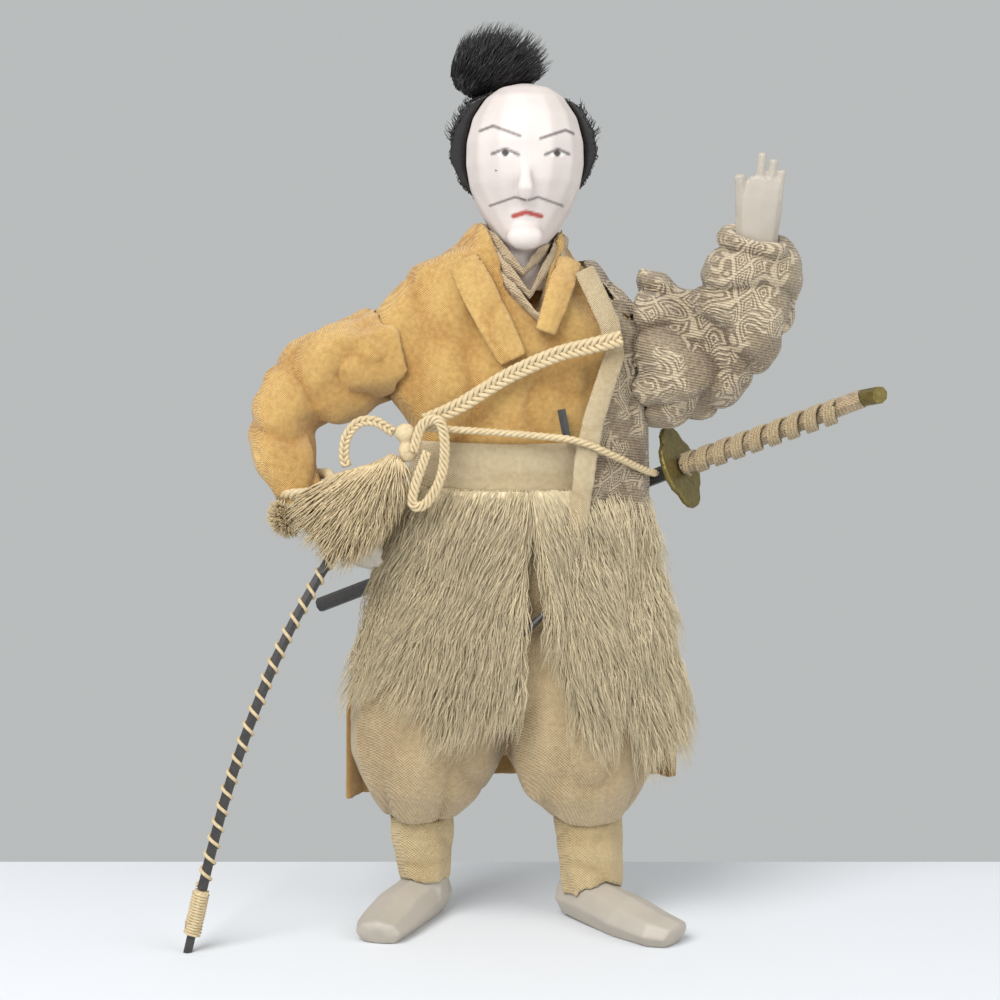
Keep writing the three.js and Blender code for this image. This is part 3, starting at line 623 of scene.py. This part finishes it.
class DOLL_OT_hair(bpy.types.Operator):
    """Makes the dressed hair and the bristling topknot"""

    bl_idname = "doll.hair"
    bl_label = "Hair"

    def execute(self, context):
        finished(remeshed("side_hair", voxel=0.5, smoothing=30), ["side_hair"], "hair")
        hairs("side_hair_strands", "side_hair", "hair", count=2600, seed=13, aim=combed_back,
              length=7 * MM, radius=0.13 * MM, wanted=off_the_skull)
        low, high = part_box("topknot")
        tie = Vector((low.x + 3 * MM, (low.y + high.y) / 2, low.z))

        def fanned(root, normal):
            return Vector((0.55, 0, 0.7)) + (root - tie) * 30 + normal * 0.3

        hairs("topknot_bristles", "topknot", "hair", count=2600, seed=11, aim=fanned,
              length=6.8 * MM, radius=0.15 * MM)
        finished(remeshed("topknot", voxel=0.7, smoothing=6), [], "hair")
        return {"FINISHED"}


def combed_down(lean):
    """Fur combed down, leaning to one side in waves."""
    def aim(root, normal):
        sway = noise.noise(root * 90) * 0.5
        return Vector((lean + sway, -0.1, -1)) + normal * 0.22

    return aim


def off_the_trousers(centre, normal):
    """True on the outer faces and the edges of a fur panel."""
    return normal.y < 0.35 or abs(normal.z) > 0.5


class DOLL_OT_fur(bpy.types.Operator):
    """Covers the two skirt panels with combed fur"""

    bl_idname = "doll.fur"
    bl_label = "Fur skirt"

    def execute(self, context):
        sizes = context.scene.doll_sizes
        for node, lean in (("fur_panel_right", -0.28), ("fur_panel_left", 0.22)):
            pelt = remeshed(node, voxel=0.9, smoothing=4)
            pelt.name = node + "_pelt"
            finished(pelt, [], "fur")
            hairs(node + "_fur", node, "fur", sizes.fur_count, seed=21, aim=combed_down(lean),
                  length=sizes.fur_length, radius=0.12 * MM, wanted=off_the_trousers)
        return {"FINISHED"}


def followed(line):
    """Each point of a line, the directions sideways and outwards there, and the length up to it."""
    front = Vector((0, -1, 0))
    run = 0.0
    for i, point in enumerate(line):
        along = direction_at(line, i)
        side = along.cross(front).normalized()
        run += (point - line[max(i - 1, 0)]).length
        yield point, side, side.cross(along).normalized(), run


def braid(name, route, node, wide, deep, strands, pitch, thick, steps):
    """Strands that weave across a cord along its route. Those of a flat braid cross twice a turn."""
    line = smooth_line(route, steps)
    crossings = 2 if wide > 2 * deep else 1
    verts, faces = [], []
    for k in range(strands):
        points = []
        for point, side, out, run in followed(line):
            turn = 2 * math.pi * (run / pitch + k / strands)
            sideways = side * wide * math.cos(turn)
            points.append(point + sideways + out * deep * math.sin(turn * crossings))
        tube(verts, faces, points, [thick] * len(points), STRAND_SIDES)
    finished(piece_of(name, verts, faces), [node], "cord")


class DOLL_OT_cords(bpy.types.Operator):
    """Makes the braids, the bow, the wrist tie and the tassel"""

    bl_idname = "doll.cords"
    bl_label = "Cords"

    def execute(self, context):
        for name, route, node, wide, deep, strands, pitch, thick, steps in CORDS:
            braid(name, route, node, wide * MM, deep * MM, strands, pitch * MM, thick * MM, steps)
        finished(remeshed("knot", voxel=0.5, smoothing=3), ["knot"], "cord")
        low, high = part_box("tassel")
        gathered = Vector((high.x - 2 * MM, (low.y + high.y) / 2, high.z + 2 * MM))

        def fan(root, normal):
            return (root - gathered).normalized() + normal * 0.1 + Vector((0, 0, -0.15))

        hairs("tassel_threads", "tassel", "cord", count=1500, seed=31, aim=fan,
              length=7 * MM, radius=0.28 * MM)
        low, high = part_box("wrist_tuft")
        middle = (low + high) / 2

        def burst(root, normal):
            return (root - middle).normalized() + normal

        hairs("wrist_tuft_threads", "wrist_tuft", "cord", count=1300, seed=41, aim=burst,
              length=2 * MM, radius=0.16 * MM)
        for node in ("tassel", "wrist_tuft"):
            finished(remeshed(node, voxel=0.6, smoothing=4), [], "cord")
        return {"FINISHED"}


def coil(name, line, slot, radius, pitch, thick, phase=0.0):
    """A thread wound round a rod along its line, with sizes in millimetres."""
    points = []
    for point, side, out, run in followed(line):
        turn = 2 * math.pi * run / (pitch * MM) + phase
        points.append(point + radius * MM * (math.cos(turn) * side + math.sin(turn) * out))
    verts, faces = [], []
    tube(verts, faces, points, [thick * MM] * len(points), THREAD_SIDES)
    finished(piece_of(name, verts, faces), [], slot)


class DOLL_OT_sword_and_whip(bpy.types.Operator):
    """Finishes the sword and winds the threads of its handle and of the whip"""

    bl_idname = "doll.sword_and_whip"
    bl_label = "Sword and whip"

    def execute(self, context):
        whip = smooth_line(WHIP, WHIP_STEPS)
        coil("whip_thread", whip[WHIP_THREAD_STRETCH], "cord", radius=1.5, pitch=4.3, thick=0.48)
        coil("whip_lashing_thread", whip[LASHING_STRETCH], "cord", radius=2.1, pitch=0.75, thick=0.34)
        along = (POMMEL - GUARD).normalized()
        grip = [placed(GUARD + along * (GRIP_START + GRIP_STEP * i)) for i in range(GRIP_STEPS)]
        for k in range(WRAP_THREADS):
            coil(f"handle_wrap_{k + 1}", grip, "creamSilk", radius=2.75, pitch=5.5, thick=0.48,
                 phase=WRAP_PHASE * k)
        finished(remeshed("sword_guard", voxel=0.3, smoothing=4), ["sword_guard"], "brass")
        for node, slot in PLAIN_NODES.items():
            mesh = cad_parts[node].data
            mesh.materials.clear()
            mesh.materials.append(FINISHES[slot])
        return {"FINISHED"}


def aimed(obj, place, target):
    """Links an object in at a place, turned to look at the target."""
    bpy.context.scene.collection.objects.link(obj)
    obj.location = place
    obj.rotation_euler = (target - obj.location).to_track_quat("-Z", "Y").to_euler()
    return obj


def area_light(name, place, size, power):
    """A square lamp, with its size in metres and its power in watts."""
    lamp = bpy.data.lights.new(name, "AREA")
    lamp.size = size
    lamp.energy = power
    aimed(bpy.data.objects.new(name, lamp), place, LAMP_TARGET)


def floor_plane():
    """The pale floor, which ends where the wall begins."""
    bpy.ops.object.select_all(action="DESELECT")
    bpy.ops.mesh.primitive_plane_add(size=1)
    floor = bpy.context.active_object
    floor.name = "floor"
    for vertex in floor.data.vertices:
        vertex.co.x *= FLOOR_WIDTH
        vertex.co.y = FLOOR_FAR_EDGE if vertex.co.y > 0 else FLOOR_NEAR_EDGE
    pale = Finish("floor", roughness=0.8)
    pale.shader.inputs["Base Color"].default_value = FLOOR_COLOUR
    floor.data.materials.append(pale.material)


class DOLL_OT_stage(bpy.types.Operator):
    """Sets the pale floor, the soft light and the camera"""

    bl_idname = "doll.stage"
    bl_label = "Stage"

    def execute(self, context):
        floor_plane()
        world = bpy.data.worlds.new("studio")
        world.use_nodes = True
        background = world.node_tree.nodes["Background"]
        background.inputs["Color"].default_value = BACKDROP_COLOUR
        background.inputs["Strength"].default_value = 1.0
        context.scene.world = world
        area_light("key", (-0.35, -0.6, 0.75), size=0.6, power=9)
        area_light("fill", (0.6, -0.5, 0.4), size=0.7, power=3)
        camera = bpy.data.cameras.new("camera")
        camera.lens = LENS
        camera.sensor_width = SENSOR_WIDTH
        eye = aimed(bpy.data.objects.new("camera", camera), placed(EYE), placed(LOOKED_AT))
        context.scene.camera = eye
        context.scene.view_settings.view_transform = "Standard"
        return {"FINISHED"}


OPERATORS = [DOLL_OT_clothes, DOLL_OT_lacquer, DOLL_OT_hair, DOLL_OT_fur, DOLL_OT_cords,
             DOLL_OT_sword_and_whip, DOLL_OT_stage]


class DOLL_PT_panel(bpy.types.Panel):
    bl_label = "Samurai Doll"
    bl_idname = "DOLL_PT_panel"
    bl_space_type = "VIEW_3D"
    bl_region_type = "UI"
    bl_category = "Doll"

    def draw(self, context):
        for group in (context.scene.doll_sizes, context.scene.doll_colours):
            for name in group.__annotations__:
                self.layout.prop(group, name)
        for operator in OPERATORS:
            self.layout.operator(operator.bl_idname)


CLASSES = [DollSizes, DollColours, *OPERATORS, DOLL_PT_panel]


def register():
    for each in CLASSES:
        bpy.utils.register_class(each)
    bpy.types.Scene.doll_sizes = bpy.props.PointerProperty(type=DollSizes)
    bpy.types.Scene.doll_colours = bpy.props.PointerProperty(type=DollColours)


def unregister():
    del bpy.types.Scene.doll_sizes
    del bpy.types.Scene.doll_colours
    for each in reversed(CLASSES):
        bpy.utils.unregister_class(each)


def main():
    register()
    scene = bpy.context.scene
    FINISHES.update(finishes(scene.doll_sizes, scene.doll_colours))
    bpy.ops.doll.clothes()
    bpy.ops.doll.lacquer()
    bpy.ops.doll.hair()
    bpy.ops.doll.fur()
    bpy.ops.doll.cords()
    bpy.ops.doll.sword_and_whip()
    bpy.ops.doll.stage()


if __name__ == "__main__":
    main()
